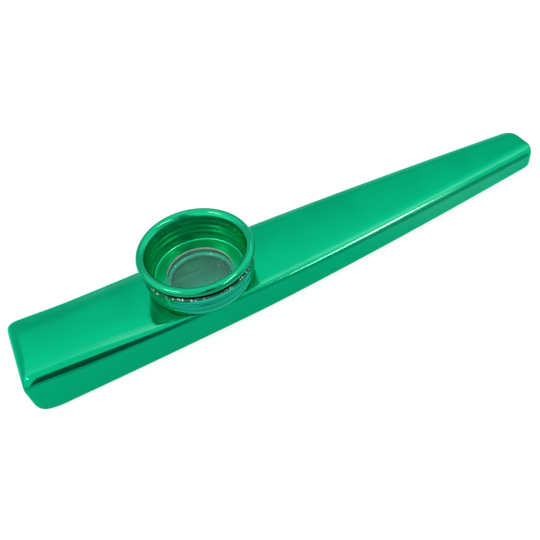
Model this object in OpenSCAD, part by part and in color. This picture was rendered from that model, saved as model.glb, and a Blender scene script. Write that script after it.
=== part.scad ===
// Sheet-metal kazoo: a tapered body tube, a turret collar staked through its top,
// and a screw cap that clamps a ringed film diaphragm onto the floor of the collar.
// Millimetres. X runs from the mouth end to the outlet end, Z is up, and the
// underside of the tube rests on z = 0 with x = 0 at the middle of its length.

/* [Body tube] */
// Length of the tube, mouth end to outlet end
body_l = 120; // [110:1:130]
// Width of the tube at its widest place
body_w = 18; // [17.6:0.1:19.5]
// Width of the tube at the mouth end
mouth_w = 17; // [16:0.1:17.5]
// Width of the tube at the outlet end
outlet_w = 9.6; // [9:0.1:12]
// Height of the tube at the mouth end
mouth_h = 11; // [10.6:0.1:12]
// Height of the flat seat at the turret's axis
seat_h = 7.9; // [7.6:0.1:9]
// Height of the tube at the outlet end
outlet_h = 5.3; // [5.1:0.1:6.5]
// Distance from the mouth end to the widest place
widest_from_mouth = 46; // [36:0.5:58]
// Thickness of the tube's sheet
body_sheet = 0.8; // [0.6:0.05:0.9]

/* [Long edges of the tube] */
// Radius of the top edges at the mouth end
mouth_top_r = 3.2; // [2.2:0.1:3.4]
// Radius of the top edges beside the turret
seat_top_r = 1.1; // [1:0.1:1.5]
// Radius of the top edges at the outlet end
outlet_top_r = 1.9; // [1.4:0.1:2.2]
// Radius of the bottom edges at the mouth end
mouth_under_r = 1; // [0.9:0.1:2]
// Radius of the bottom edges at the outlet end
outlet_under_r = 1.9; // [1.2:0.1:2.2]

/* [Turned-in ends] */
// Run of the curve by which the top turns down at the mouth
mouth_top_run = 2.6; // [1.5:0.1:4]
// Fall of the top at the mouth opening
mouth_top_fall = 3; // [1.8:0.1:3.2]
// Run of the curve by which the underside turns up at the mouth
mouth_under_run = 5; // [3:0.1:6]
// Rise of the underside at the mouth opening
mouth_under_rise = 3.7; // [2.2:0.1:3.8]
// Run of the curve by which the sides turn in at the mouth
mouth_side_run = 1.3; // [1:0.1:3]
// How far each side turns in at the mouth opening
mouth_side_in = 0.8; // [0.8:0.1:2]
// Run of the curve by which the top turns down at the outlet
outlet_top_run = 1.2; // [0.9:0.1:1.6]
// Fall of the top at the outlet opening
outlet_top_fall = 0.3; // [0.2:0.1:0.6]
// Run of the curve by which the underside turns up at the outlet
outlet_under_run = 1.6; // [1:0.1:2.5]
// Rise of the underside at the outlet opening
outlet_under_rise = 1.2; // [0.9:0.1:1.3]
// Run of the curve by which the sides turn in at the outlet
outlet_side_run = 2.5; // [1.5:0.1:3]
// How far each side turns in at the outlet opening
outlet_side_in = 2.6; // [1.6:0.1:2.8]

/* [Turret collar] */
// Distance from the mouth end to the turret's axis
turret_from_mouth = 38.8; // [34:0.1:50]
// Angle in degrees by which the seat falls and the turret leans towards the outlet
turret_lean = 2.9; // [1:0.1:3.5]
// Height of the collar above its seat
collar_h = 6.1; // [5.8:0.1:6.3]
// Thickness of the collar's sheet
collar_sheet = 0.4; // [0.3:0.05:0.5]
// Radius of the hole in the collar's floor, bare metal to bare metal
collar_hole_r = 5.8; // [5.4:0.05:5.9]
// How much narrower the foot of the collar is than its wall, per side
collar_taper = 0.9; // [0.6:0.1:1]
// Height above the seat where the taper meets the wall
collar_shoulder_h = 1.7; // [1.6:0.1:2.8]
// How far the top edge of the collar flares out
collar_flare = 0.45; // [0.2:0.05:0.6]
// Height of the flared part of the collar
collar_flare_h = 1.2; // [0.8:0.1:1.6]

/* [Screw cap] */
// Inner radius of the cap's wall
cap_wall_r = 9.9; // [9.6:0.1:10.2]
// Height of the cap, underside of its ledge to the top of its rim
cap_h = 7.5; // [7.3:0.05:8.5]
// Thickness of the cap's sheet
cap_sheet = 0.4; // [0.3:0.05:0.5]
// Radius of the hole that shows the diaphragm
cap_hole_r = 6.75; // [6:0.05:7.2]
// How much narrower the foot of the cap is than its wall, per side
cap_taper = 0.9; // [0.6:0.1:1.4]
// Height above the ledge's underside where the taper meets the wall
cap_shoulder_h = 2.4; // [2:0.05:2.6]
// Radius of the rolled rim, measured at the middle of the sheet
rim_roll_r = 0.675; // [0.5:0.025:0.75]

/* [Diaphragm] */
// Thickness of the film
film_t = 0.1; // [0.05:0.01:0.2]
// Thickness of the carrier ring under the film
ring_t = 0.6; // [0.5:0.05:0.8]
// Width of the carrier ring, inner edge to outer edge
ring_w = 0.8; // [0.7:0.05:1]

/* [Fits] */
// Gap per side between the cap's wall and the collar's wall
thread_gap = 0.25; // [0.15:0.05:0.35]
// Gap between the faces that the cap presses together
clamp_gap = 0.01; // [0.005:0.005:0.03]
// Gap per side between the collar's neck and the hole in the tube
stake_gap = 0.03; // [0.01:0.01:0.06]
// Width of the staked flange that grips the inside of the tube
stake_w = 0.7; // [0.5:0.1:0.8]

/* [Hidden] */

// Middle radii of the bends in the collar's sheet and in the cap's sheet
collar_stake_bend = 0.35;
collar_foot_bend = 0.9;
collar_wall_bend = 1.5;
cap_foot_bend = 0.5;
cap_wall_bend = 1.2;
// Straight part of the collar's neck between its two bends
neck_straight = 0.05;
// Edge break of the moulded carrier ring
ring_edge = 0.12;
// How far the diaphragm's edge stays inside the foot of the cap, seen from above
film_margin = 0.52;
// How far inside the foot of the collar the flat seat may end, under its bend
seat_margin = 0.5;
// Smallest radius left in the tube's long edges, and its smallest end curve
least_r = 0.5;
least_run = 0.1;
// Two path points closer than this are one
least_step = 0.001;
// Overrun of cuts
over = 1;
// Powers by which the sides and the top ease towards each end
mouth_side_share = 1.84;
outlet_side_share = 1.45;
mouth_top_share = 1.35;
outlet_top_share = 1.1;
// How far round its roll the rim's end stays from the wall, as a share of the roll
rim_end_share = 0.9;

// Steps along one end curve, along the tube before, under and past the turret, round a
// long edge and round a bend
end_steps = 7;
mouth_steps = 5;
seat_steps = 2;
outlet_steps = 9;
edge_steps = 6;
bend_steps = 6;
$fn = 96;

turret_x = turret_from_mouth - body_l / 2;

collar_neck_r = collar_hole_r + collar_sheet / 2;
collar_lip_bend = body_sheet + collar_sheet - collar_stake_bend - neck_straight;
collar_wall_r = cap_wall_r + cap_sheet + thread_gap + collar_sheet / 2;
collar_foot_r = collar_wall_r - collar_taper;
body_hole_r = collar_neck_r + collar_lip_bend + stake_gap;
stake_r = body_hole_r + stake_w;

cap_mid_r = cap_wall_r + cap_sheet / 2;
cap_foot_r = cap_mid_r - cap_taper;
diaphragm_r = cap_foot_r - film_margin;

// Heights above the seat
ring_z = collar_sheet + clamp_gap;
film_z = ring_z + ring_t;
cap_z = film_z + film_t + clamp_gap;

// Flat seat along the tube, measured from the mouth end
seat_from = turret_from_mouth - collar_foot_r + seat_margin;
seat_to = turret_from_mouth + collar_foot_r - seat_margin;

// How far the top stands above the plane of its seat at each end
mouth_lift = mouth_h - seat_h - tan(turret_lean) * turret_from_mouth;
outlet_lift = outlet_h - seat_h + tan(turret_lean) * (body_l - turret_from_mouth);

anodised_green = [0, 0.62, 0.44];
frosted_plastic = [0.85, 0.9, 0.88];
clear_film = [0.45, 0.6, 0.55, 0.5];

// Quarter-ellipse inset: full at the opening, nothing beyond run
function turned(d, run, full) =
    d >= run ? 0 : full * (1 - sqrt(1 - pow(1 - max(d, 0) / run, 2)));

// Half width of the tube at distance s from the mouth end
function half_width(s) =
    let (
        to_mouth = max(widest_from_mouth - s, 0) / widest_from_mouth,
        to_outlet = max(s - widest_from_mouth, 0) / (body_l - widest_from_mouth)
    )
    body_w / 2
        - (body_w - mouth_w) / 2 * pow(to_mouth, mouth_side_share)
        - (body_w - outlet_w) / 2 * pow(to_outlet, outlet_side_share);

// Height of the top at distance s from the mouth end: the plane of the seat, lifted past it
function top_height(s) =
    let (
        to_mouth = max(seat_from - s, 0) / seat_from,
        to_outlet = max(s - seat_to, 0) / (body_l - seat_to)
    )
    seat_h - tan(turret_lean) * (s - turret_from_mouth)
        + mouth_lift * pow(to_mouth, mouth_top_share)
        + outlet_lift * pow(to_outlet, outlet_top_share);

// Radius of the top long edges at distance s from the mouth end
function top_edge(s) = lookup(s, [
    [0, mouth_top_r],
    [turret_from_mouth, seat_top_r],
    [body_l, outlet_top_r]
]);

// Radius of the bottom long edges at distance s from the mouth end
function under_edge(s) = mouth_under_r + (outlet_under_r - mouth_under_r) * s / body_l;

// Points of a quarter arc in the YZ plane, from angle a through 90 degrees
function corner(x, y, z, r, a) =
    [for (i = [0:edge_steps]) let (b = a + 90 * i / edge_steps) [x, y + r * cos(b), z + r * sin(b)]];

// Rounded section of the tube at distance s, with its skin set in by the given inset
function section(s, inset) =
    let (
        from_mouth = s - inset,
        from_outlet = body_l - inset - s,
        mouth_side = turned(from_mouth, max(mouth_side_run - inset, least_run),
                            max(mouth_side_in - inset, 0)),
        mouth_top = turned(from_mouth, max(mouth_top_run - inset, least_run),
                           max(mouth_top_fall - inset, 0)),
        mouth_under = turned(from_mouth, max(mouth_under_run - inset, least_run),
                             max(mouth_under_rise - inset, 0)),
        outlet_side = turned(from_outlet, max(outlet_side_run - inset, least_run),
                             max(outlet_side_in - inset, 0)),
        outlet_top = turned(from_outlet, max(outlet_top_run - inset, least_run),
                            max(outlet_top_fall - inset, 0)),
        outlet_under = turned(from_outlet, max(outlet_under_run - inset, least_run),
                              max(outlet_under_rise - inset, 0)),
        w = half_width(s) - inset - mouth_side - outlet_side,
        top = top_height(s) - inset - mouth_top - outlet_top,
        under = inset + mouth_under + outlet_under,
        most_r = min((top - under) / 2, w) * 0.98,
        top_in = (mouth_side + outlet_side + mouth_top + outlet_top) / 2,
        under_in = (mouth_side + outlet_side + mouth_under + outlet_under) / 2,
        rt = min(max(top_edge(s) - inset - top_in, least_r), most_r),
        rb = min(max(under_edge(s) - inset - under_in, least_r), most_r),
        x = s - body_l / 2
    )
    concat(
        corner(x, w - rb, under + rb, rb, -90),
        corner(x, w - rt, top - rt, rt, 0),
        corner(x, rt - w, top - rt, rt, 90),
        corner(x, rb - w, under + rb, rb, 180)
    );

// Distances from the mouth end at which the tube has a section, for one skin
function stations(inset) =
    let (
        mouth_run = max(mouth_under_run, mouth_top_run, mouth_side_run) - inset,
        end_run = max(outlet_under_run, outlet_top_run, outlet_side_run) - inset,
        first = inset + mouth_run,
        last = body_l - inset - end_run
    )
    concat(
        [for (i = [0:end_steps]) inset + mouth_run * (1 - cos(90 * i / end_steps))],
        [for (i = [1:mouth_steps - 1]) first + (seat_from - first) * i / mouth_steps],
        [for (i = [0:seat_steps]) seat_from + (seat_to - seat_from) * i / seat_steps],
        [for (i = [1:outlet_steps - 1]) seat_to + (last - seat_to) * i / outlet_steps],
        [for (i = [end_steps:-1:0]) body_l - inset - end_run * (1 - cos(90 * i / end_steps))]
    );

function reversed(list) = [for (i = [len(list) - 1:-1:0]) list[i]];

// Skin through a closed loop of rings that all have the same number of points
module ring_skin(rings) {
    n = len(rings);
    m = len(rings[0]);
    points = [for (ring = rings) each ring];
    faces = [
        for (i = [0:n - 1], j = [0:m - 1])
            let (
                a = i * m + j,
                b = i * m + (j + 1) % m,
                c = (i + 1) % n * m + (j + 1) % m,
                d = (i + 1) % n * m + j
            )
            each [[a, d, c], [a, c, b]]
    ];
    polyhedron(points = points, faces = faces, convexity = 6);
}

function unit(v) = v / norm(v);
function left_of(v) = [-v[1], v[0]];

// Path with each inner corner [r, z, bend] replaced by an arc of that bend radius
function bent(path) = [
    for (i = [0:len(path) - 1])
        let (p = [path[i][0], path[i][1]])
        each (i == 0 || i == len(path) - 1) ? [p] : bend_arc(
            [path[i - 1][0], path[i - 1][1]], p, [path[i + 1][0], path[i + 1][1]], path[i][2])
];

function bend_arc(before, p, after, r) =
    let (
        u = unit(before - p),
        v = unit(after - p),
        half = acos(u * v) / 2,
        centre = p + unit(u + v) * r / sin(half),
        from = p + u * r / tan(half) - centre,
        start = atan2(from[1], from[0]),
        side = sign(u[1] * v[0] - u[0] * v[1]),
        sweep = side * (180 - 2 * half)
    )
    [for (i = [0:bend_steps]) centre + r * [cos(start + sweep * i / bend_steps),
                                            sin(start + sweep * i / bend_steps)]];

// Outline of a sheet of thickness t that follows the path along its middle
function sheet_outline(path, t) =
    let (
        last = len(path) - 1,
        normals = [
            for (i = [0:last])
                let (
                    n1 = left_of(unit(path[max(i, 1)] - path[max(i, 1) - 1])),
                    n2 = left_of(unit(path[min(i, last - 1) + 1] - path[min(i, last - 1)]))
                )
                unit(n1 + n2) / sqrt((1 + n1 * n2) / 2)
        ]
    )
    concat(
        [for (i = [0:last]) path[i] + normals[i] * t / 2],
        [for (i = [last:-1:0]) path[i] - normals[i] * t / 2]
    );

// Path without the points where one bend runs straight into the next
function distinct(path) =
    [for (i = [0:len(path) - 1]) if (i == 0 || norm(path[i] - path[max(i, 1) - 1]) > least_step) path[i]];

// Spun part made of one sheet of thickness t
module spun_sheet(path, t) {
    rotate_extrude() polygon(sheet_outline(distinct(bent(path)), t));
}

// Places what is drawn round the turret's axis, with the seat as z = 0
module on_seat() {
    translate([turret_x, 0, seat_h]) rotate([0, turret_lean, 0]) children();
}

// Tapered tube with turned-in ends and the hole that takes the collar's neck
module body_tube() {
    color(anodised_green) difference() {
        ring_skin(concat(
            [for (s = stations(0)) section(s, 0)],
            [for (s = reversed(stations(body_sheet))) section(s, body_sheet)]
        ));
        on_seat() translate([0, 0, -body_sheet - over])
            cylinder(r = body_hole_r, h = body_sheet + 2 * over);
    }
}

// Threaded socket: staked flange, neck, floor, tapered foot, wall and flared edge
module turret_collar() {
    stake_z = -body_sheet - collar_sheet / 2;
    floor_z = collar_sheet / 2;
    path = [
        [stake_r, stake_z],
        [collar_neck_r, stake_z, collar_stake_bend],
        [collar_neck_r, floor_z, collar_lip_bend],
        [collar_foot_r, floor_z, collar_foot_bend],
        [collar_wall_r, collar_shoulder_h, collar_wall_bend],
        [collar_wall_r, collar_h - collar_flare_h, collar_wall_bend],
        [collar_wall_r + collar_flare, collar_h]
    ];
    color(anodised_green) on_seat() spun_sheet(path, collar_sheet);
}

// Cup with an inward ledge that clamps the diaphragm, a threaded wall and a rolled rim
module screw_cap() {
    ledge_z = cap_sheet / 2;
    rim_z = cap_h - cap_sheet / 2;
    rim_out_r = cap_mid_r + 2 * rim_roll_r;
    rim_low_z = rim_z - 2 * rim_roll_r;
    path = [
        [cap_hole_r, ledge_z],
        [cap_foot_r, ledge_z, cap_foot_bend],
        [cap_mid_r, cap_shoulder_h, cap_wall_bend],
        [cap_mid_r, rim_z, rim_roll_r],
        [rim_out_r, rim_z, rim_roll_r],
        [rim_out_r, rim_low_z, rim_roll_r],
        [cap_mid_r + rim_roll_r * rim_end_share, rim_low_z]
    ];
    color(anodised_green) on_seat() translate([0, 0, cap_z]) spun_sheet(path, cap_sheet);
}

// Moulded ring that carries the film, with broken edges
module diaphragm_ring() {
    inner_r = diaphragm_r - ring_w;
    color(frosted_plastic) on_seat() translate([0, 0, ring_z]) rotate_extrude() polygon([
        [inner_r, ring_edge],
        [inner_r + ring_edge, 0],
        [diaphragm_r - ring_edge, 0],
        [diaphragm_r, ring_edge],
        [diaphragm_r, ring_t],
        [inner_r, ring_t]
    ]);
}

// Film that buzzes, stretched over its ring
module diaphragm_film() {
    color(clear_film) on_seat() translate([0, 0, film_z]) cylinder(r = diaphragm_r, h = film_t);
}

body_tube();
turret_collar();
screw_cap();
diaphragm_ring();
diaphragm_film();
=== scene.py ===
"""Sheet-metal kazoo: the looks of the tube, turret collar, screw cap and diaphragm.

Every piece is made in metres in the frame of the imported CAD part: X runs from the
mouth end to the outlet end, Z is up and the tube's underside rests on z = 0. The
turret stands square on the tube's top, which slopes, so the turret leans.
"""

import math
import random

import bpy
from bpy.props import FloatProperty, FloatVectorProperty, PointerProperty
from bpy.types import Operator, Panel, PropertyGroup
from mathutils import Matrix, Quaternion, Vector


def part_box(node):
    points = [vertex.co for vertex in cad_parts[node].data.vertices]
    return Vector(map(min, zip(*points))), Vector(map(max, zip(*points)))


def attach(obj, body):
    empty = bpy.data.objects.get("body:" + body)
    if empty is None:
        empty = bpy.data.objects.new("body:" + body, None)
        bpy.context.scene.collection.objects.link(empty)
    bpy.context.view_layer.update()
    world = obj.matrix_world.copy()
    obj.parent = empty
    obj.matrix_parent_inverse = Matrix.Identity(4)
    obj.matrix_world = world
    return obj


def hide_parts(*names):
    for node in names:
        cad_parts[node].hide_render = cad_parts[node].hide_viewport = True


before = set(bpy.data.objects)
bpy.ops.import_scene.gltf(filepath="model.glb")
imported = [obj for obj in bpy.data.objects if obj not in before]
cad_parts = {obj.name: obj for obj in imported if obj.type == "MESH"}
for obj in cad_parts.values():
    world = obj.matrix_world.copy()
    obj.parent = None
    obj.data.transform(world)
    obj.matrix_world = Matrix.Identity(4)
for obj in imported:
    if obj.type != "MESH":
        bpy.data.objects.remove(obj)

bl_info = {
    "name": "Sheet-metal kazoo",
    "version": (1, 1, 0),
    "blender": (4, 5, 0),
    "location": "3D View > Sidebar > Kazoo",
    "description": "Models a kazoo of coloured sheet metal round its CAD frame",
    "category": "Add Mesh",
}

MM = 0.001
FULL_TURN = 2 * math.pi

FILM_LOW, FILM_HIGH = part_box("diaphragm_film")


# Sizes and colours that a user would change


def length(name, description, millimetres):
    return FloatProperty(
        name=name, description=description, default=millimetres * MM,
        min=0, precision=5, subtype="DISTANCE", unit="LENGTH")


def angle(name, description, degrees):
    return FloatProperty(
        name=name, description=description, default=math.radians(degrees),
        subtype="ANGLE", unit="ROTATION")


def share(name, description, value):
    return FloatProperty(
        name=name, description=description, default=value, min=0, max=1, subtype="FACTOR")


def colour(name, description, value):
    return FloatVectorProperty(
        name=name, description=description, default=value, size=3,
        min=0, max=1, subtype="COLOR")


class KazooTubeSettings(PropertyGroup):
    body_length: length("Length", "Mouth end to outlet end", 120)
    width: length("Width", "Width at the widest place", 18)
    mouth_width: length("Mouth width", "Width at the mouth end", 17)
    outlet_width: length("Outlet width", "Width at the outlet end", 9.6)
    mouth_height: length("Mouth height", "Height at the mouth end", 11)
    seat_height: length("Seat height", "Height of the seat at the turret's axis", 7.9)
    outlet_height: length("Outlet height", "Height at the outlet end", 5.3)
    widest_at: length("Widest at", "Distance from the mouth end to the widest place", 46)
    turret_at: length("Turret at", "Distance from the mouth end to the turret's axis", 38.8)
    lean: angle("Lean", "Fall of the seat, and lean of the turret, towards the outlet", 2.9)
    seat_from: length("Seat from", "Where the flat seat starts", 29.45)
    seat_to: length("Seat to", "Where the flat seat ends", 48.15)
    sheet: length("Sheet", "Thickness of the tube's sheet", 0.8)
    neck_hole: length("Neck hole", "Radius of the hole for the collar's neck", 6.83)
    mouth_top_edge: length("Mouth top edge", "Radius of the top edges at the mouth", 3.2)
    seat_top_edge: length("Seat top edge", "Radius of the top edges at the turret", 1.1)
    outlet_top_edge: length("Outlet top edge", "Radius of the top edges at the outlet", 1.9)
    mouth_under_edge: length("Mouth under edge", "Radius of the bottom edges at the mouth", 1)
    outlet_under_edge: length(
        "Outlet under edge", "Radius of the bottom edges at the outlet", 1.9)
    mouth_crown: length("Mouth crown", "Width of the top's crowned borders at the mouth", 3)
    outlet_crown: length(
        "Outlet crown", "Width of the top's crowned borders at the outlet", 1.2)
    crown: angle("Crown", "Slope of the top where it meets its long edges", 5)


class KazooTurretSettings(PropertyGroup):
    sheet: length("Sheet", "Thickness of the collar's and the cap's sheet", 0.4)
    pitch: length("Thread pitch", "Rise of the rolled thread in one turn", 1.5)
    cap_thread: length("Cap thread", "Half the height of the waves in the cap's wall", 0.022)
    collar_thread: length("Collar thread", "Half the height of those in the collar", 0.12)
    collar_start: length("Collar thread start", "Shift of the collar's thread upwards", 0.875)
    ragged: length("Ragged edge", "How uneven the collar's cut edge is", 0.07)
    cap_foot: length("Cap foot", "Height of the underside of the cap above the seat", 1.12)


class KazooDiaphragmSettings(PropertyGroup):
    ripple: length("Ripple", "Height of the faint ripples in the film", 0.012)


class KazooFinishSettings(PropertyGroup):
    tube_green: colour("Tube green", "Colour of the tube", (0.0006, 0.32, 0.146))
    # Painted light: lighter than the tube's outside, for the light inside the tube that is seen
    # through the film
    inside_lightened_green: colour("Inside green", "Dull colour inside the tube", (0.005, 0.6, 0.38))
    collar_green: colour("Collar green", "Colour of the collar", (0.002, 0.34, 0.20))
    cap_green: colour("Cap green", "Colour of the cap's rim", (0.0012, 0.31, 0.142))
    # Painted light: a lighter copy of the cap's green for the cap's inside; the ledge takes it
    # darkened as painted shade
    cup_painted_light_green: colour("Cup green", "Colour of the cap's inside", (0.002, 0.45, 0.2))
    # Painted shade: the collar's neck, deep under the film, is given a darker green
    neck_shaded_green: colour("Neck green", "Colour of the collar's neck", (0.003, 0.26, 0.15))
    # Painted highlight and wear: the pale green of the top's border and the line round its
    # edge, which are painted highlights, and of the worn sides
    sheen_and_wear_green: colour(
        "Worn green", "Colour where the long edges are rubbed", (0.15, 0.55, 0.4))
    bare_metal: colour("Bare metal", "Colour of the cut edges of the sheet", (0.98, 0.9, 0.92))
    # Painted shade: the collar's cut edge is made nearly black, for the shade in the gap under
    # the cap's rim
    shaded_collar_edge: colour("Collar edge", "Colour of the collar's cut edge", (0.003, 0.12, 0.08))
    collar_tear: colour("Collar tears", "Colour of the bare places in it", (0.3, 0.75, 0.6))
    edge_glow: colour(
        "Grazing tint", "Tint of the metal's glancing reflections", (0.4, 1, 0.85))
    # Painted light: the film's green stands in for the green light that the cup's walls throw
    # on it
    film: colour("Film", "Colour of the film", (0.3, 0.7, 0.62))
    ring: colour("Ring", "Colour of the diaphragm's ring", (0.84, 0.95, 0.9))
    # Painted light: the ring's emission, which brightens it in the shade under the cap's ledge
    ring_painted_glow: colour("Ring glow", "Light that comes out of the ring", (0.02, 0.36, 0.19))
    gloss: share("Roughness", "Roughness of the coloured metal", 0.13)
    cup_gloss: share("Cup roughness", "Roughness of the cap's inside", 0.27)
    lacquer: share("Lacquer", "Strength of the clear lacquer's reflections", 0.12)
    tube_lacquer: share("Tube lacquer", "Strength of them on the tube, which is worn", 0.02)
    haze: share("Film haze", "How much the film hides what lies under it", 0.07)


class KazooStageSettings(PropertyGroup):
    eye: FloatVectorProperty(
        name="Camera", description="Place of the camera", size=3,
        default=(-0.035617, -0.087983, 0.105310), subtype="TRANSLATION", unit="LENGTH")
    aim: FloatVectorProperty(
        name="Aim", description="Point that the camera looks at", size=3,
        default=(-0.006602, 0, 0.000685), subtype="TRANSLATION", unit="LENGTH")
    roll: angle("Roll", "Turn of the camera about its line of sight", -11.149)
    lens: FloatProperty(
        name="Lens", description="Focal length of the camera in millimetres",
        default=43.209, min=1)
    floor: colour("Floor", "Colour of the table", (0.8, 0.8, 0.8))


# Working on one piece at a time, as by hand

SHARP_FROM = math.radians(40)


def start_clean():
    """Object mode, with nothing selected."""
    if bpy.context.object and bpy.context.object.mode != "OBJECT":
        bpy.ops.object.mode_set(mode="OBJECT")
    bpy.ops.object.select_all(action="DESELECT")


def pick(piece):
    start_clean()
    piece.select_set(True)
    bpy.context.view_layer.objects.active = piece


def name_new(name):
    piece = bpy.context.object
    piece.name = name
    piece.data.name = name
    return piece


def settle(piece):
    """Puts the object's place into its mesh."""
    pick(piece)
    bpy.ops.object.transform_apply(location=True, rotation=True, scale=True)


def apply_modifier(piece, kind, name, **values):
    pick(piece)
    bpy.ops.object.modifier_add(type=kind)
    modifier = piece.modifiers[-1]
    modifier.name = name
    for key, value in values.items():
        setattr(modifier, key, value)
    bpy.ops.object.modifier_apply(modifier=modifier.name)


def merge_and_face_out(piece, gap):
    pick(piece)
    bpy.ops.object.mode_set(mode="EDIT")
    bpy.ops.mesh.select_all(action="SELECT")
    bpy.ops.mesh.remove_doubles(threshold=gap)
    bpy.ops.mesh.normals_make_consistent(inside=False)
    bpy.ops.object.mode_set(mode="OBJECT")


def smooth(piece):
    """Shades the piece smooth, but for edges that turn by more than SHARP_FROM."""
    pick(piece)
    bpy.ops.object.shade_smooth_by_angle(angle=SHARP_FROM, keep_sharp_edges=True)


def dress(piece, *materials):
    piece.data.materials.clear()
    for material in materials:
        piece.data.materials.append(material)


def seat_place(tube):
    """Where the turret's axis meets its seat."""
    return Vector((tube.turret_at - tube.body_length / 2, 0, tube.seat_height))


def stand_on_seat(piece, tube):
    """Moves a piece made upright at the origin to its leaning place on the tube."""
    piece.rotation_euler = (0, tube.lean, 0)
    piece.location = seat_place(tube)
    settle(piece)


# Materials

# Distances from the turret's axis at which its painted light and shade, and its roughness,
# change: out of the collar's neck, off the cap's ledge onto its wall, and off that wall onto
# its rim
NECK_END = (7 * MM, 8 * MM)
LEDGE_END = (8.9 * MM, 9.5 * MM)
WALL_END = (9.85 * MM, 10.3 * MM)

# Painted shade: brightness of the ledge beside the wall's; and how much rougher the neck is
LEDGE_SHADE = 0.68
NECK_ROUGHER = 0.3


class Nodes:
    """A node tree that is laid out as it is written."""

    def __init__(self, tree):
        self.tree = tree
        self.tree.nodes.clear()

    def add(self, kind, sockets=None, **settings):
        made = self.tree.nodes.new(kind)
        made.location = (220 * len(self.tree.nodes), 0)
        for key, value in settings.items():
            setattr(made, key, value)
        for key, value in (sockets or {}).items():
            self.feed(made, key, value)
        return made

    def feed(self, made, key, value):
        if isinstance(value, bpy.types.NodeSocket):
            self.tree.links.new(value, made.inputs[key])
        else:
            made.inputs[key].default_value = value

    def maths(self, operation, *values):
        made = self.add("ShaderNodeMath", operation=operation)
        for number, value in enumerate(values):
            self.feed(made, number, value)
        return made.outputs[0]

    def between(self, value, low, high, to_low=0.0, to_high=1.0):
        """value from low to high, eased, mapped onto to_low to to_high."""
        made = self.add(
            "ShaderNodeMapRange",
            {"Value": value, "From Min": low, "From Max": high,
             "To Min": to_low, "To Max": to_high},
            interpolation_type="SMOOTHSTEP")
        return made.outputs["Result"]

    def band(self, value, low, high, ease):
        """1 from low to high, easing to 0 outside."""
        up = self.between(value, low - ease, low)
        down = self.between(value, high, high + ease, 1.0, 0.0)
        return self.maths("MULTIPLY", up, down)

    def noise(self, place, scale, detail):
        return self.add(
            "ShaderNodeTexNoise",
            {"Vector": place, "Scale": scale, "Detail": detail}).outputs["Fac"]

    def blend(self, factor, first, second):
        return self.add(
            "ShaderNodeMix", {"Factor": factor, "A": first, "B": second},
            data_type="RGBA").outputs["Result"]


def new_material(name):
    material = bpy.data.materials.new(name)
    material.use_nodes = True
    return material, Nodes(material.node_tree)


def tinted(rgb, factor):
    """The colour made lighter or darker, with full alpha."""
    return tuple(min(1.0, part * factor) for part in rgb) + (1.0,)


def turret_frame(nodes, place, tube):
    """Object coordinates, turned and moved so that the turret's axis is their Z."""
    return nodes.add(
        "ShaderNodeMapping",
        {"Vector": place, "Location": seat_place(tube), "Rotation": (0, tube.lean, 0)},
        vector_type="TEXTURE").outputs[0]


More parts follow.
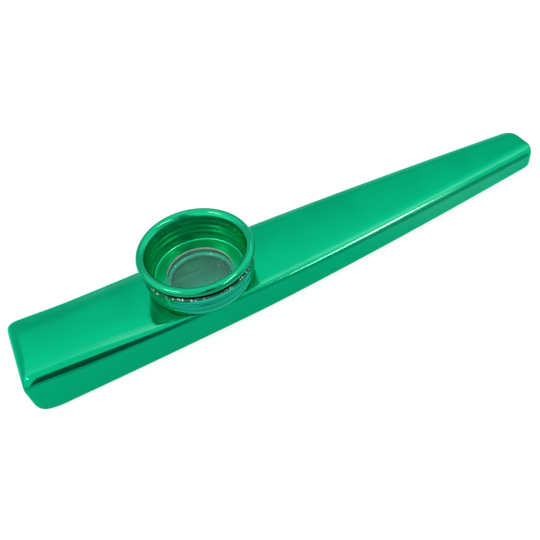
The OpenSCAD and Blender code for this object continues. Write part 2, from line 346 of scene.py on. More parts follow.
def coloured_metal(name, rgb, finish, tube, spun, cup=False, neck=False):
    """Bright coloured aluminium, with the faint lines that drawing or spinning leaves.

    With cup, its inside is painted lighter than its rim, a painted light, its ledge darker, a
    painted shade, and it is less polished inside. With neck, it is darker near the turret's
    axis, a painted shade, and rougher there.
    """
    material, nodes = new_material(name)
    place = nodes.add("ShaderNodeTexCoord").outputs["Object"]
    if spun:
        place = turret_frame(nodes, place, tube)
        lines = nodes.add(
            "ShaderNodeTexWave",
            {"Vector": place, "Scale": 1400.0, "Distortion": 1.0, "Detail": 2.0},
            wave_type="BANDS", bands_direction="Z").outputs["Fac"]
    else:
        lines = nodes.noise(
            nodes.add(
                "ShaderNodeMapping", {"Vector": place, "Scale": (40, 900, 900)}).outputs[0],
            4.0, 3.0)
    clouds = nodes.noise(place, 90.0, 3.0)
    tone_and_painted_light = nodes.blend(nodes.between(clouds, 0.35, 0.65), tinted(rgb, 0.97), tinted(rgb, 1.03))
    if not spun:
        # Painted highlights and wear: the colour turns pale where the tube's mesh says so, on
        # the top's border and edge line and on the worn sides
        sheen_and_wear = nodes.add("ShaderNodeAttribute", attribute_name="edge_sheen_and_wear").outputs["Fac"]
        patchy_sheen_and_wear = nodes.maths("MULTIPLY", sheen_and_wear, nodes.between(clouds, 0.2, 0.7, 0.6, 1.0))
        tone_and_painted_light = nodes.blend(patchy_sheen_and_wear, tone_and_painted_light, tinted(finish.sheen_and_wear_green, 1))
    polish = nodes.between(clouds, 0.3, 0.7, finish.gloss * 0.85, finish.gloss * 1.15)
    if cup or neck:
        flat = nodes.add("ShaderNodeVectorMath", {0: place, 1: (1, 1, 0)}, operation="MULTIPLY")
        radius = nodes.add(
            "ShaderNodeVectorMath", {0: flat.outputs[0]}, operation="LENGTH").outputs["Value"]
    # Painted shade: darker and rougher near the axis
    if neck:
        within = nodes.between(radius, *NECK_END, 1.0, 0.0)
        tone_and_painted_light = nodes.blend(within, tone_and_painted_light, tinted(finish.neck_shaded_green, 1))
        polish = nodes.maths("MULTIPLY_ADD", within, NECK_ROUGHER, polish)
    # Painted light: the cap's inside gets a lighter copy of its green, and painted shade
    # darkens the ledge
    if cup:
        within = nodes.between(radius, *WALL_END, 1.0, 0.0)
        wall = nodes.between(radius, *LEDGE_END)
        inside = nodes.blend(
            wall, tinted(finish.cup_painted_light_green, LEDGE_SHADE), tinted(finish.cup_painted_light_green, 1))
        tone_and_painted_light = nodes.blend(within, tone_and_painted_light, inside)
        polish = nodes.maths("MULTIPLY_ADD", within, finish.cup_gloss - finish.gloss, polish)
    relief = nodes.maths(
        "ADD", nodes.maths("MULTIPLY", lines, 0.5), nodes.noise(place, 1500.0, 2.0))
    bump = nodes.add(
        "ShaderNodeBump",
        {"Height": relief, "Strength": 0.07 if spun else 0.02, "Distance": 0.000003})
    shader = nodes.add(
        "ShaderNodeBsdfPrincipled",
        {"Base Color": tone_and_painted_light, "Metallic": 1.0, "Roughness": polish,
         "Specular Tint": tuple(finish.edge_glow) + (1,),
         "Coat Weight": finish.lacquer if spun else finish.tube_lacquer,
         "Coat Roughness": 0.09,
         "Normal": bump.outputs["Normal"]})
    nodes.add("ShaderNodeOutputMaterial", {"Surface": shader.outputs["BSDF"]})
    return material


def dull_metal(name, rgb):
    """Coloured metal as it is inside the tube, left unpolished, its colour painted lighter than
    outside: painted light inside the tube.
    """
    material, nodes = new_material(name)
    place = nodes.add("ShaderNodeTexCoord").outputs["Object"]
    clouds = nodes.noise(place, 300.0, 4.0)
    tone_and_painted_light = nodes.blend(nodes.between(clouds, 0.3, 0.7), tinted(rgb, 0.9), tinted(rgb, 1.1))
    bump = nodes.add(
        "ShaderNodeBump", {"Height": clouds, "Strength": 0.3, "Distance": 0.00001})
    shader = nodes.add(
        "ShaderNodeBsdfPrincipled",
        {"Base Color": tone_and_painted_light, "Metallic": 0.3, "Roughness": 0.6, "Specular IOR Level": 0.1,
         "Normal": bump.outputs["Normal"]})
    nodes.add("ShaderNodeOutputMaterial", {"Surface": shader.outputs["BSDF"]})
    return material


def cut_metal(name, rgb, torn=None):
    """Bare sheet metal where the colour was cut away, rough from the cut.

    An edge that kept its colour is bare only where it is torn.
    """
    material, nodes = new_material(name)
    place = nodes.add("ShaderNodeTexCoord").outputs["Object"]
    tears = nodes.noise(place, 2600.0, 3.0)
    shade = nodes.blend(nodes.between(tears, 0.35, 0.65), tinted(rgb, 0.8), tinted(rgb, 1.1))
    if torn:
        shade = nodes.blend(nodes.between(tears, 0.59, 0.65), shade, tinted(torn, 1))
    bump = nodes.add(
        "ShaderNodeBump", {"Height": tears, "Strength": 0.5, "Distance": 0.00003})
    shader = nodes.add(
        "ShaderNodeBsdfPrincipled",
        {"Base Color": shade, "Metallic": 0.9 if torn else 0.2, "Roughness": 0.45,
         "Normal": bump.outputs["Normal"]})
    nodes.add("ShaderNodeOutputMaterial", {"Surface": shader.outputs["BSDF"]})
    return material


def clear_film(name, rgb, haze):
    """Thin clear film with a few specks of dust on it, tinted green: painted light, for the
    green light that the cup's walls throw on it.
    """
    material, nodes = new_material(name)
    place = nodes.add("ShaderNodeTexCoord").outputs["Object"]
    cells = nodes.add("ShaderNodeTexVoronoi", {"Vector": place, "Scale": 1050.0})
    dust = nodes.between(cells.outputs["Distance"], 0.07, 0.2, 1.0, 0.0)
    some = nodes.add("ShaderNodeSeparateColor", {"Color": cells.outputs["Color"]})
    dust = nodes.maths("MULTIPLY", dust, nodes.between(some.outputs[0], 0.65, 0.95))
    veil = nodes.between(nodes.noise(place, 160.0, 3.0), 0.3, 0.7, haze * 0.85, haze * 1.15)
    cover = nodes.maths("MAXIMUM", veil, nodes.maths("MULTIPLY", dust, 0.6))
    # Painted light in the green tint, dust in the pale specks
    tint = nodes.blend(dust, tinted(rgb, 1), (0.9, 0.9, 0.88, 1))
    shader = nodes.add(
        "ShaderNodeBsdfPrincipled",
        {"Base Color": tint, "Roughness": 0.12, "Specular IOR Level": 0.4,
         "Alpha": cover})
    nodes.add("ShaderNodeOutputMaterial", {"Surface": shader.outputs["BSDF"]})
    return material


def frosted_plastic(name, rgb, glow):
    """Moulded translucent plastic; its glow is painted light, an emission that stands in for
    the light that spreads inside it.
    """
    material, nodes = new_material(name)
    place = nodes.add("ShaderNodeTexCoord").outputs["Object"]
    flow = nodes.noise(place, 700.0, 4.0)
    milk = nodes.blend(nodes.between(flow, 0.3, 0.7), tinted(rgb, 0.93), tinted(rgb, 1.05))
    bump = nodes.add(
        "ShaderNodeBump", {"Height": flow, "Strength": 0.2, "Distance": 0.00001})
    shader = nodes.add(
        "ShaderNodeBsdfPrincipled",
        {"Base Color": milk, "Roughness": 0.38, "Emission Color": tinted(glow, 1),
         "Emission Strength": 1.0, "Normal": bump.outputs["Normal"]})
    nodes.add("ShaderNodeOutputMaterial", {"Surface": shader.outputs["BSDF"]})
    return material


# Shape of the tube

# Corners, by end: run along the tube and how far the skin turns in there
MOUTH_TOP = (2.6 * MM, 3.0 * MM)
MOUTH_UNDER = (5.0 * MM, 3.7 * MM)
MOUTH_SIDE = (1.3 * MM, 0.8 * MM)
OUTLET_TOP = (1.2 * MM, 0.3 * MM)
OUTLET_UNDER = (1.6 * MM, 1.2 * MM)
OUTLET_SIDE = (2.5 * MM, 2.6 * MM)

# Radius of a long edge at least, and as a share of the room that it has at most
LEAST_EDGE = 0.5 * MM
MOST_EDGE = 0.98

# How much tighter the top's round edges are at the very mouth, and how far that reaches
MOUTH_TIGHTER = 0.9 * MM
MOUTH_TIGHTER_REACH = 14 * MM

# Distance over which the crown grows beside the seat, and the share of the crown's slope
# by which it lifts the round edge, so that the middle of that edge keeps its place
CROWN_EASE = 12 * MM
EDGE_KEPT = 0.455

# Powers by which the sides and the top ease towards each end
MOUTH_SIDE_EASE = 1.84
OUTLET_SIDE_EASE = 1.45
MOUTH_TOP_EASE = 1.35
OUTLET_TOP_EASE = 1.1

# Steps over a turned-in end, between the ends, round an edge, and along the right side,
# the top, the left side and the underside
END_STEPS = 12
BODY_STEPS = 56
EDGE_STEPS = 9
FLAT_STEPS = (4, 24, 4, 6)

# How far the colour is paled, least and further on, and the distances from the mouth over
# which that grows or fades: the pale border of the top and the bright line round its edge,
# both painted highlights, and the worn, dull upper part of the sides
PALE_SHEEN, PALE_GROWTH, PALE_GROWS = 0.035, 0.18, (8 * MM, 24 * MM)
LINE_SHEEN, LINE_STARTS = 0.03, (50 * MM, 55 * MM)
LINE_GROWTH, LINE_GROWS, LINE_FADES = 0.08, (60 * MM, 80 * MM), (92 * MM, 102 * MM)
SIDE_WEAR, SIDE_GROWS = 0.16, (60 * MM, 112 * MM)

# Where across the skin each of them comes and goes: as shares of the crowned border's
# width, of the edge's turn, and of the height
PALE_BORDER, PALE_ENDS = (0.65, 1), (0.2, 0.35)
LINE_COMES, LINE_ENDS = (0.3, 0.4), (0.68, 0.78)
SIDE_COMES, SIDE_FOOT = (0.8, 1), (0, 0.3)


def eased(value, low, high):
    """0 below low and 1 above high, with a smooth step between."""
    part = min(max((value - low) / (high - low), 0), 1)
    return part * part * (3 - 2 * part)


def turned_in(distance, corner):
    """How far the skin turns in at this distance from an end."""
    run, full = corner
    if distance >= run:
        return 0.0
    return full * (1 - math.sqrt(1 - (1 - max(distance, 0) / run) ** 2))


def half_width(tube, s):
    """Half the width before the ends turn in."""
    to_mouth = max(tube.widest_at - s, 0) / tube.widest_at
    to_outlet = max(s - tube.widest_at, 0) / (tube.body_length - tube.widest_at)
    return (
        tube.width / 2
        - (tube.width - tube.mouth_width) / 2 * to_mouth ** MOUTH_SIDE_EASE
        - (tube.width - tube.outlet_width) / 2 * to_outlet ** OUTLET_SIDE_EASE)


def top_height(tube, s):
    """The plane of the seat, lifted past it towards each end."""
    fall = math.tan(tube.lean)
    past_turret = tube.body_length - tube.turret_at
    mouth_lift = tube.mouth_height - tube.seat_height - fall * tube.turret_at
    outlet_lift = tube.outlet_height - tube.seat_height + fall * past_turret
    to_mouth = max(tube.seat_from - s, 0) / tube.seat_from
    to_outlet = max(s - tube.seat_to, 0) / (tube.body_length - tube.seat_to)
    return (
        tube.seat_height - fall * (s - tube.turret_at)
        + mouth_lift * to_mouth ** MOUTH_TOP_EASE + outlet_lift * to_outlet ** OUTLET_TOP_EASE)


def top_edge(tube, s):
    """Radius of the top's round edges before the ends turn in."""
    if s < tube.turret_at:
        part = 1 - s / tube.turret_at
        tighter = MOUTH_TIGHTER * (1 - eased(s, 0, MOUTH_TIGHTER_REACH))
        return tube.seat_top_edge + (tube.mouth_top_edge - tube.seat_top_edge) * part - tighter
    part = (s - tube.turret_at) / (tube.body_length - tube.turret_at)
    return tube.seat_top_edge + (tube.outlet_top_edge - tube.seat_top_edge) * part


def ring_places(tube, s):
    """Points round the outer skin at distance s from the mouth, as (y, z, painted sheen and
    wear).
    """
    left = tube.body_length - s
    sides = turned_in(s, MOUTH_SIDE) + turned_in(left, OUTLET_SIDE)
    over = turned_in(s, MOUTH_TOP) + turned_in(left, OUTLET_TOP)
    under = turned_in(s, MOUTH_UNDER) + turned_in(left, OUTLET_UNDER)
    wide = half_width(tube, s) - sides
    top = top_height(tube, s) - over
    most = min((top - under) / 2, wide) * MOST_EDGE
    upper = min(max(top_edge(tube, s) - (sides + over) / 2, LEAST_EDGE), most)
    lower = tube.mouth_under_edge + (
        tube.outlet_under_edge - tube.mouth_under_edge) * s / tube.body_length
    lower = min(max(lower - (sides + under) / 2, LEAST_EDGE), most)
    corners = [
        (wide - lower, under + lower, lower, -90), (wide - upper, top - upper, upper, 0),
        (upper - wide, top - upper, upper, 90), (lower - wide, under + lower, lower, 180)]
    points = []
    for number, (y, z, radius, start) in enumerate(corners):
        for step in range(EDGE_STEPS + 1):
            turn = math.radians(start + 90 * step / EDGE_STEPS)
            points.append((y + radius * math.cos(turn), z + radius * math.sin(turn)))
        following = corners[(number + 1) % 4]
        turn = math.radians(following[3])
        ahead = (following[0] + following[2] * math.cos(turn),
                 following[1] + following[2] * math.sin(turn))
        behind = points[-1]
        for step in range(1, FLAT_STEPS[number]):
            part = step / FLAT_STEPS[number]
            points.append(tuple(a + (b - a) * part for a, b in zip(behind, ahead)))
    return [crowned(tube, s, y, z, wide - upper, upper, (z - under) / (top - under))
            for y, z in points]


def crowned(tube, s, y, z, flat, upper, high):
    """Crowns the top away from the seat, and says how far the colour is paled there: painted
    highlight on the top's border and edge, wear on the sides.

    flat is half the width of the top between its round edges, upper is their radius, and
    high is the height of the point as a share of the section's.
    """
    before = s < tube.turret_at
    reach = min(tube.mouth_crown if before else tube.outlet_crown, flat / 2)
    gap = tube.seat_from - s if before else s - tube.seat_to
    slope = math.tan(tube.crown) * eased(gap, 0, CROWN_EASE)
    past = max(abs(y) - (flat - reach), 0)
    beyond = min(max(past - reach, 0), upper)
    if past < reach:
        rise = slope * (reach / 2 - past * past / (2 * reach))
    else:
        rise = slope * (beyond * beyond / (2 * upper) - beyond)
    rise += EDGE_KEPT * slope * upper
    return y, z + rise * high, edge_sheen_and_wear(s, past / reach, beyond / upper, high)


def edge_sheen_and_wear(s, border, turned, high):
    """How far the colour is paled, from 0 to 1: painted highlights on the top's border and
    round its edge, and wear on the sides.

    border goes from 0 to 1 over the top's crowned border, turned from 0 to 1 round its
    edge, and high is the height as a share of the section's.
    """
    pale = PALE_SHEEN + PALE_GROWTH * eased(s, *PALE_GROWS)
    pale *= eased(border, *PALE_BORDER) * (1 - eased(turned, *PALE_ENDS))
    line = LINE_SHEEN * eased(s, *LINE_STARTS) + LINE_GROWTH * eased(s, *LINE_GROWS)
    line *= eased(turned, *LINE_COMES) * (1 - eased(turned, *LINE_ENDS))
    line *= 1 - eased(s, *LINE_FADES)
    side = SIDE_WEAR * eased(s, *SIDE_GROWS)
    side *= eased(turned, *SIDE_COMES) * eased(high, *SIDE_FOOT)
    return max(max(pale, line) * (high > 0.5), side)


def tube_stations(tube):
    """Distances from the mouth end, close together where the ends turn in."""
    mouth_run = max(MOUTH_TOP[0], MOUTH_UNDER[0], MOUTH_SIDE[0])
    outlet_run = max(OUTLET_TOP[0], OUTLET_UNDER[0], OUTLET_SIDE[0])
    quarter = [1 - math.cos(math.pi / 2 * i / END_STEPS) for i in range(END_STEPS + 1)]
    last = tube.body_length - outlet_run
    middle = [mouth_run + (last - mouth_run) * i / BODY_STEPS for i in range(1, BODY_STEPS)]
    return (
        [mouth_run * part for part in quarter] + middle
        + [tube.body_length - outlet_run * part for part in reversed(quarter)])


def roll_into_tube(piece, tube, stations, rings):
    """Moves the points of a unit grid to their places on the tube's skin."""
    count, around = len(stations) - 1, len(rings[0])
    # How pale each point's colour is: painted highlights on the top, wear on the sides
    sheen_and_wear_layer = piece.data.attributes.new("edge_sheen_and_wear", "FLOAT", "POINT")
    for vertex in piece.data.vertices:
        along = round((vertex.co.x + 0.5) * count)
        y, z, sheen_and_wear = rings[along][round((vertex.co.y + 0.5) * around) % around]
        vertex.co = (stations[along] - tube.body_length / 2, y, z)
        sheen_and_wear_layer.data[vertex.index].value = sheen_and_wear
    piece.data.update()


# Shapes spun from sheet, made upright on the origin

SPIN_STEPS = 240
PATH_STEP = 0.15 * MM
SAME_PLACE = 0.001 * MM


def bent_path(corners, steps):
    """Path of (r, z) points through corners (r, z, bend), with each corner made an arc."""
    path = [Vector(corners[0][:2])]
    for before, here, after in zip(corners, corners[1:], corners[2:]):
        at = Vector(here[:2])
        back = (Vector(before[:2]) - at).normalized()
        ahead = (Vector(after[:2]) - at).normalized()
        half = back.angle(ahead) / 2
        centre = at + (back + ahead).normalized() * here[2] / math.sin(half)
        first = at + back * here[2] / math.tan(half) - centre
        sweep = math.copysign(math.pi - 2 * half, back.y * ahead.x - back.x * ahead.y)
        for step in range(steps + 1):
            cosine, sine = math.cos(sweep * step / steps), math.sin(sweep * step / steps)
            path.append(centre + Vector(
                (first.x * cosine - first.y * sine, first.x * sine + first.y * cosine)))
    path.append(Vector(corners[-1][:2]))
    return path


def evenly(path, spacing):
    """The path with its long stretches cut into steps no longer than spacing."""
    points = [path[0]]
    for point in path[1:]:
        span = (point - points[-1]).length
        if span < SAME_PLACE:
            continue
        cuts = max(1, math.ceil(span / spacing))
        start = points[-1]
        points += [start.lerp(point, cut / cuts) for cut in range(1, cuts + 1)]
    return points


def spin_sheet(name, corners, foot, bend_steps):
    """Draws the bent path point by point and spins it round the turret's axis.

    The corners (r, z, bend) are in millimetres, with their heights above foot.
    """
    places = [(r * MM, z * MM + foot, *(bend * MM for bend in rest)) for r, z, *rest in corners]
    path = evenly(bent_path(places, bend_steps), PATH_STEP)
    start_clean()
    bpy.ops.mesh.primitive_plane_add(size=0.01 * MM, location=(path[0].x, 0, path[0].y))
    piece = name_new(name)
    settle(piece)
    bpy.ops.object.mode_set(mode="EDIT")
    bpy.ops.mesh.select_all(action="SELECT")
    bpy.ops.mesh.merge(type="CENTER")
    for before, point in zip(path, path[1:]):
        bpy.ops.mesh.extrude_region_move(
            TRANSFORM_OT_translate={"value": (point.x - before.x, 0, point.y - before.y)})
    bpy.ops.mesh.select_all(action="SELECT")
    bpy.ops.mesh.spin(
        steps=SPIN_STEPS, angle=FULL_TURN, center=(0, 0, 0), axis=(0, 0, 1),
        use_auto_merge=False)
    bpy.ops.object.mode_set(mode="OBJECT")
    merge_and_face_out(piece, 0.002 * MM)
    return piece


def roll_thread(piece, pitch, depth, low, high, ease, start=0):
    """Rolls a right-hand screw thread into the wall between two heights.

    It grows from nothing to its full depth over twice the ease at each end.
    """
    for vertex in piece.data.vertices:
        x, y, z = vertex.co
        if not low - ease < z < high + ease:
            continue
        into = eased(min(z - low, high - z), -ease, ease)
        wave = math.cos(math.atan2(y, x) - FULL_TURN * (z - start) / pitch)
        scale = 1 + depth * into * wave / math.hypot(x, y)
        vertex.co.x, vertex.co.y = x * scale, y * scale
    piece.data.update()


def thicken(piece, sheet):
    apply_modifier(
        piece, "SOLIDIFY", "Sheet thickness", thickness=sheet, offset=0,
        use_even_offset=True, use_quality_normals=True, use_rim=True, material_offset_rim=1)


# Operators, one for each piece and one for the stage


class KAZOO_OT_body_tube(Operator):
    """Roll the tapered tube with its turned-in ends"""

    bl_idname = "kazoo.body_tube"
    bl_label = "Body tube"
    bl_options = {"REGISTER", "UNDO"}

    def execute(self, context):
        tube, finish = context.scene.kazoo_tube, context.scene.kazoo_finish
        stations = tube_stations(tube)
        rings = [ring_places(tube, s) for s in stations]
        start_clean()
        bpy.ops.mesh.primitive_grid_add(
            x_subdivisions=len(stations) - 1, y_subdivisions=len(rings[0]), size=1)
        piece = name_new("kazoo_tube")
        roll_into_tube(piece, tube, stations, rings)
        merge_and_face_out(piece, 0.001 * MM)
        dress(
            piece, coloured_metal("Tube metal", finish.tube_green, finish, tube, False),
            cut_metal("Tube cut edge", finish.bare_metal),
            dull_metal("Tube inside", finish.inside_lightened_green))
        apply_modifier(
            piece, "SOLIDIFY", "Sheet thickness", thickness=tube.sheet, offset=-1,
            use_even_offset=True, use_rim=True, material_offset_rim=1, material_offset=2)
        self.pierce(piece, tube)
        smooth(piece)
        apply_modifier(
            piece, "WEIGHTED_NORMAL", "Flat faces stay flat", mode="FACE_AREA", weight=50,
            keep_sharp=True)
        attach(piece, "tube")
        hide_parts("body_tube")
        return {"FINISHED"}

    def pierce(self, piece, tube):
        """Cuts the hole that takes the collar's neck."""
        start_clean()
        bpy.ops.mesh.primitive_cylinder_add(vertices=128, radius=tube.neck_hole, depth=4 * MM)
        punch = name_new("punch")
        stand_on_seat(punch, tube)
        apply_modifier(piece, "BOOLEAN", "Neck hole", operation="DIFFERENCE", object=punch,
                       solver="EXACT")
        pick(punch)
        bpy.ops.object.delete()


# Path of the collar's sheet from its folded lip to its cut edge
COLLAR_PATH = (
    (7.53, -1.0), (6.0, -1.0, 0.35), (6.0, 0.2, 0.8), (9.85, 0.2, 0.9), (10.75, 1.9, 1.7),
    (10.75, 4.9, 1.5), (11.2, 6.1))

# Teeth round the collar's cut edge, and the height above which its points belong to it
TEETH = 120
EDGE_ABOVE = 6.03 * MM


class KAZOO_OT_turret_collar(Operator):
    """Spin the collar that takes the screw cap, with its thread and its ragged cut edge"""

    bl_idname = "kazoo.turret_collar"
    bl_label = "Turret collar"
    bl_options = {"REGISTER", "UNDO"}

    def execute(self, context):
        tube, turret = context.scene.kazoo_tube, context.scene.kazoo_turret
        finish = context.scene.kazoo_finish
        piece = spin_sheet("kazoo_collar", COLLAR_PATH, 0, bend_steps=8)
        roll_thread(
            piece, turret.pitch, turret.collar_thread, low=2.3 * MM, high=4.9 * MM,
            ease=0.4 * MM, start=turret.collar_start)
        self.tear(piece, turret.ragged)
        # The collar's cut edge is darkened as painted shade, with bare torn places
        dress(
            piece,
            coloured_metal("Collar metal", finish.collar_green, finish, tube, True, neck=True),
            cut_metal("Collar cut edge", finish.shaded_collar_edge, finish.collar_tear))
        thicken(piece, turret.sheet)
        smooth(piece)
        stand_on_seat(piece, tube)
        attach(piece, "tube")
        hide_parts("turret_collar")
        return {"FINISHED"}

    def tear(self, piece, most):
        """Makes the cut edge at the top uneven."""
        chance = random.Random(7)
        teeth = [chance.uniform(-1, 0.2) for _ in range(TEETH)]
        for vertex in piece.data.vertices:
            if vertex.co.z > EDGE_ABOVE:
                turn = math.atan2(vertex.co.y, vertex.co.x) / FULL_TURN
                vertex.co.z += most * teeth[int(turn * len(teeth)) % len(teeth)]


# Path of the cap's sheet from the edge of its hole to the end of its rolled rim
CAP_PATH = (
    (6.75, 0.2), (9.5, 0.2, 0.65), (9.85, 2.4, 2.0), (9.85, 6.589, 1.69),
    (10.467, 7.3, 0.674), (11.45, 7.3, 0.674), (11.45, 5.95, 0.675), (10.7075, 5.95))


class KAZOO_OT_screw_cap(Operator):
    """Spin the cap with its ledge, its rolled thread and its rolled rim"""

    bl_idname = "kazoo.screw_cap"
    bl_label = "Screw cap"
    bl_options = {"REGISTER", "UNDO"}

    def execute(self, context):
        tube, turret = context.scene.kazoo_tube, context.scene.kazoo_turret
        finish = context.scene.kazoo_finish
        foot = turret.cap_foot
        piece = spin_sheet("kazoo_cap", CAP_PATH, foot, bend_steps=10)
        roll_thread(
            piece, turret.pitch, turret.cap_thread, low=foot + 1.6 * MM,
            high=foot + 5.6 * MM, ease=0.5 * MM)
        dress(
            piece, coloured_metal("Cap metal", finish.cap_green, finish, tube, True, cup=True),
            cut_metal("Cap cut edge", finish.bare_metal))
        thicken(piece, turret.sheet)
        smooth(piece)
        stand_on_seat(piece, tube)
        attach(piece, "cap")
        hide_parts("screw_cap")
        return {"FINISHED"}


# The film's thickness, its rings of faces, the share of its radius that ripples, and its
# waves, each with its radians in a metre along X and along Y and its shift in radians
FILM_SHEET = 0.05 * MM
FILM_RINGS = 16
RIPPLED = 0.75
RIPPLES = ((900, 300, 0), (-400, 700, 1))


class KAZOO_OT_diaphragm(Operator):
    """Stretch the clear film over its ring"""

    bl_idname = "kazoo.diaphragm"
    bl_label = "Diaphragm"
    bl_options = {"REGISTER", "UNDO"}

    def execute(self, context):
        tube, finish = context.scene.kazoo_tube, context.scene.kazoo_finish
        ripple = context.scene.kazoo_diaphragm.ripple
        radius = (FILM_HIGH.y - FILM_LOW.y) / 2
        middle = (FILM_LOW + FILM_HIGH) / 2 - seat_place(tube)
        start_clean()
        bpy.ops.mesh.primitive_circle_add(
            vertices=128, radius=radius, fill_type="NGON", location=(0, 0, middle.length))
        piece = name_new("kazoo_film")
        settle(piece)
        bpy.ops.object.mode_set(mode="EDIT")
        bpy.ops.mesh.select_mode(type="FACE")
        bpy.ops.mesh.select_all(action="SELECT")
        for _ in range(FILM_RINGS - 1):
            bpy.ops.mesh.inset(thickness=radius / FILM_RINGS, depth=0)
        bpy.ops.mesh.poke()
        bpy.ops.object.mode_set(mode="OBJECT")
        for vertex in piece.data.vertices:
            x, y = vertex.co.x, vertex.co.y
            out = math.hypot(x, y) / radius
            if out < RIPPLED:
                waves = [math.sin(a * x + b * y + shift) for a, b, shift in RIPPLES]
                vertex.co.z += ripple * sum(waves) / len(waves) * (1 - out / RIPPLED)
        dress(piece, clear_film("Clear film", finish.film, finish.haze))
        apply_modifier(
            piece, "SOLIDIFY", "Film thickness", thickness=FILM_SHEET, offset=0, use_rim=True)
        smooth(piece)
        stand_on_seat(piece, tube)
        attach(piece, "diaphragm")
        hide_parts("diaphragm_film")
        dress(
            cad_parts["diaphragm_ring"],
            frosted_plastic("Ring plastic", finish.ring, finish.ring_painted_glow))
        return {"FINISHED"}


# Red and blue of the strip lamps beside their green. The metal takes almost all red away,
# so this leaves its colour alone and turns the lines white where its lacquer mirrors them.
LAMP_RED = 10
LAMP_BLUE = 1.1

# Strip lamps: name, both ends in metres, width and watts before the red is added
STRIP_LAMPS = (
    ("front_strip", (0.33, -0.74, 0.60), (0.545, -0.2, 0.81), 0.05, 1.25),
    ("side_strip", (-0.54, -0.24, 0.81), (-0.71, 0.01, 0.68), 0.05, 1.0),
)

# The table: its grey and its glow, and the weaker glow that the metal mirrors from further
# in front
TABLE_GREY = 0.26
TABLE_GLOW = 0.785
FRONT_GLOW = 0.43
FRONT_FADES = (-32 * MM, -20 * MM)

# The panel overhead, by how far back a ray leans for each unit that it rises: its light
# and where that fades, the slant of its far border, the light added just behind the point
# overhead and where that comes and fades, and the light taken away in front
PANEL_LIGHT, PANEL_FADES, PANEL_SLANT = (1.69, 1.03), (0.895, 0.968), 0.05
ADDED_LIGHT, ADDED_COMES, ADDED_FADES = 0.25, (0.1, 0.13), (0.13, 0.55)
TAKEN_LIGHT, TAKEN_FADES = 0.17, (0.05, 0.13)

# The dark room in front, by the direction of a ray: the top of it and how that falls
# towards the mouth, its far side, its run from left to right, the softness of that, and
# how dark it is there and further to the right
ROOM_TOP, ROOM_FALLS_FROM, ROOM_FALL = (0.72, 0.76), -0.03, 1.6
ROOM_FAR = (-0.6, -0.4)
ROOM_RUN, ROOM_EASE, ROOM_DARK = (-0.62, 0.04), 0.12, 0.9
RIGHT_COMES, RIGHT_DARK = (0.0, 0.15), 0.5


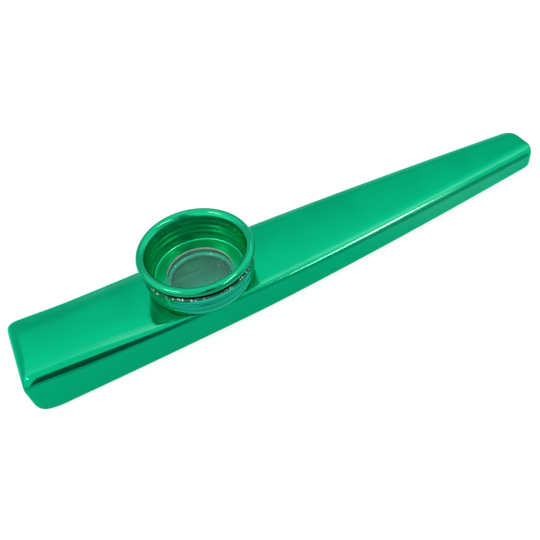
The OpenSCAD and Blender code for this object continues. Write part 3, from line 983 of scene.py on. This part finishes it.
class KAZOO_OT_stage(Operator):
    """Set the table, the soft light and the camera"""

    bl_idname = "kazoo.stage"
    bl_label = "Stage"
    bl_options = {"REGISTER", "UNDO"}

    def execute(self, context):
        stage = context.scene.kazoo_stage
        start_clean()
        bpy.ops.mesh.primitive_plane_add(size=6, location=(0, 0, -0.02 * MM))
        table = name_new("table")
        dress(table, self.table_top(stage.floor))
        self.lamps()
        self.sky(context.scene)
        start_clean()
        eye, aim = Vector(stage.eye), Vector(stage.aim)
        turn = (aim - eye).to_track_quat("-Z", "Y") @ Quaternion((0, 0, 1), stage.roll)
        bpy.ops.object.camera_add(location=eye, rotation=turn.to_euler())
        camera = bpy.context.object
        camera.data.lens = stage.lens
        camera.data.sensor_width = 36
        camera.data.clip_start = 0.005
        context.scene.camera = camera
        context.scene.view_settings.view_transform = "Standard"
        return {"FINISHED"}

    def table_top(self, rgb):
        """Pale table that the camera sees as white but for the object's shadow."""
        material, nodes = new_material("Table top")
        path = nodes.add("ShaderNodeLightPath")
        seen = nodes.maths("ADD", path.outputs["Is Camera Ray"], path.outputs["Is Glossy Ray"])
        seen = nodes.maths("ADD", seen, path.outputs["Is Transmission Ray"])
        seen = nodes.maths("MINIMUM", seen, 1.0)
        paint = nodes.add("ShaderNodeBsdfDiffuse", {"Color": tuple(rgb) + (1,)})
        place = nodes.add("ShaderNodeTexCoord").outputs["Object"]
        aside = nodes.add("ShaderNodeSeparateXYZ", {"Vector": place}).outputs["Y"]
        far_front = nodes.between(aside, *FRONT_FADES, 1.0, 0.0)
        dimmed = nodes.maths("MULTIPLY", far_front, path.outputs["Is Glossy Ray"])
        strength = nodes.between(dimmed, 0.0, 1.0, TABLE_GLOW, FRONT_GLOW)
        shade = nodes.add("ShaderNodeBsdfDiffuse", {"Color": (TABLE_GREY,) * 3 + (1,)})
        glow = nodes.add("ShaderNodeEmission", {"Color": (1, 1, 1, 1), "Strength": strength})
        bright = nodes.add("ShaderNodeAddShader", {0: shade.outputs[0], 1: glow.outputs[0]})
        both = nodes.add(
            "ShaderNodeMixShader", {0: seen, 1: paint.outputs[0], 2: bright.outputs[0]})
        nodes.add("ShaderNodeOutputMaterial", {"Surface": both.outputs[0]})
        return material

    def lamps(self):
        """Long narrow lamps that draw the bright lines on the round edges."""
        for name, near, far, wide, energy in STRIP_LAMPS:
            near, far = Vector(near), Vector(far)
            middle = (near + far) / 2
            facing = middle.normalized()
            along = (far - near - (far - near).dot(facing) * facing).normalized()
            turn = Matrix((along, facing.cross(along), facing)).transposed()
            start_clean()
            bpy.ops.object.light_add(
                type="AREA", location=middle, rotation=turn.to_euler())
            lamp = bpy.context.object
            lamp.name = name
            lamp.data.shape = "RECTANGLE"
            lamp.data.size = (far - near).length
            lamp.data.size_y = wide
            lamp.data.energy = energy * LAMP_RED
            lamp.data.color = (1, 1 / LAMP_RED, LAMP_BLUE / LAMP_RED)
            lamp.visible_camera = False
            lamp.visible_diffuse = False

    def sky(self, scene):
        """Soft light from a large panel overhead, with a darker room in front."""
        world = bpy.data.worlds.new("Studio")
        world.use_nodes = True
        scene.world = world
        nodes = Nodes(world.node_tree)
        way = nodes.add("ShaderNodeTexCoord").outputs["Generated"]
        split = nodes.add("ShaderNodeSeparateXYZ", {"Vector": way})
        along, aside, up = (split.outputs[axis] for axis in "XYZ")
        level = nodes.maths("MAXIMUM", up, 0.02)
        light = self.panel(
            nodes, nodes.maths("DIVIDE", aside, level), nodes.maths("DIVIDE", along, level))
        kept = nodes.maths("SUBTRACT", 1.0, self.front_room(nodes, along, aside, up))
        light = nodes.maths("MULTIPLY", light, kept)
        path = nodes.add("ShaderNodeLightPath")
        lit = nodes.add("ShaderNodeBackground", {"Color": (1, 1, 1, 1), "Strength": light})
        white = nodes.add("ShaderNodeBackground", {"Color": (1, 1, 1, 1), "Strength": 1.0})
        both = nodes.add(
            "ShaderNodeMixShader",
            {0: path.outputs["Is Camera Ray"], 1: lit.outputs[0], 2: white.outputs[0]})
        nodes.add("ShaderNodeOutputWorld", {"Surface": both.outputs[0]})

    def panel(self, nodes, back, across):
        """Light of the panel, which fades backwards.

        It is brighter just behind the point overhead, and darker in front of that.
        """
        slant = nodes.maths("ADD", back, nodes.maths("MULTIPLY", across, PANEL_SLANT))
        fading = nodes.add(
            "ShaderNodeMapRange",
            {"Value": slant, "From Min": PANEL_FADES[0], "From Max": PANEL_FADES[1],
             "To Min": PANEL_LIGHT[0], "To Max": PANEL_LIGHT[1]}).outputs["Result"]
        brighter = nodes.maths(
            "MULTIPLY", nodes.between(back, *ADDED_COMES),
            nodes.between(back, *ADDED_FADES, ADDED_LIGHT, 0.0))
        darker = nodes.between(back, *TAKEN_FADES, -TAKEN_LIGHT, 0.0)
        return nodes.maths("ADD", nodes.maths("ADD", fading, brighter), darker)

    def front_room(self, nodes, along, aside, up):
        """Share of the light that the room in front takes away.

        It ends lower down towards the mouth's side, and is only half dark on the other.
        """
        to_mouth = nodes.maths("SUBTRACT", ROOM_FALLS_FROM, along)
        to_mouth = nodes.maths("MAXIMUM", to_mouth, 0.0)
        raised = nodes.maths("MULTIPLY_ADD", to_mouth, ROOM_FALL, up)
        low = nodes.between(raised, *ROOM_TOP, 1.0, 0.0)
        in_front = nodes.maths("MULTIPLY", low, nodes.between(aside, *ROOM_FAR, 1.0, 0.0))
        dark = nodes.maths("MULTIPLY", nodes.band(along, *ROOM_RUN, ROOM_EASE), ROOM_DARK)
        right = nodes.between(along, *RIGHT_COMES, 0.0, RIGHT_DARK)
        return nodes.maths("MULTIPLY", in_front, nodes.maths("MAXIMUM", right, dark))


OPERATORS = (
    KAZOO_OT_body_tube,
    KAZOO_OT_turret_collar,
    KAZOO_OT_screw_cap,
    KAZOO_OT_diaphragm,
    KAZOO_OT_stage,
)

SETTINGS = {
    "kazoo_tube": KazooTubeSettings,
    "kazoo_turret": KazooTurretSettings,
    "kazoo_diaphragm": KazooDiaphragmSettings,
    "kazoo_finish": KazooFinishSettings,
    "kazoo_stage": KazooStageSettings,
}


class KAZOO_PT_sidebar(Panel):
    """Sizes, colours and steps of the kazoo"""

    bl_idname = "KAZOO_PT_sidebar"
    bl_label = "Kazoo"
    bl_space_type = "VIEW_3D"
    bl_region_type = "UI"
    bl_category = "Kazoo"

    def draw(self, context):
        for operator in OPERATORS:
            self.layout.operator(operator.bl_idname)
        for name, kind in SETTINGS.items():
            settings = getattr(context.scene, name)
            column = self.layout.column(align=True)
            for key in kind.__annotations__:
                column.prop(settings, key)


def register():
    for kind in (*SETTINGS.values(), *OPERATORS, KAZOO_PT_sidebar):
        bpy.utils.register_class(kind)
    for name, kind in SETTINGS.items():
        setattr(bpy.types.Scene, name, PointerProperty(type=kind))


def unregister():
    for name in SETTINGS:
        delattr(bpy.types.Scene, name)
    for kind in (KAZOO_PT_sidebar, *reversed(OPERATORS), *SETTINGS.values()):
        bpy.utils.unregister_class(kind)


def main():
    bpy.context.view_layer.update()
    register()
    bpy.ops.kazoo.body_tube()
    bpy.ops.kazoo.turret_collar()
    bpy.ops.kazoo.screw_cap()
    bpy.ops.kazoo.diaphragm()
    bpy.ops.kazoo.stage()
    start_clean()


if __name__ == "__main__":
    main()
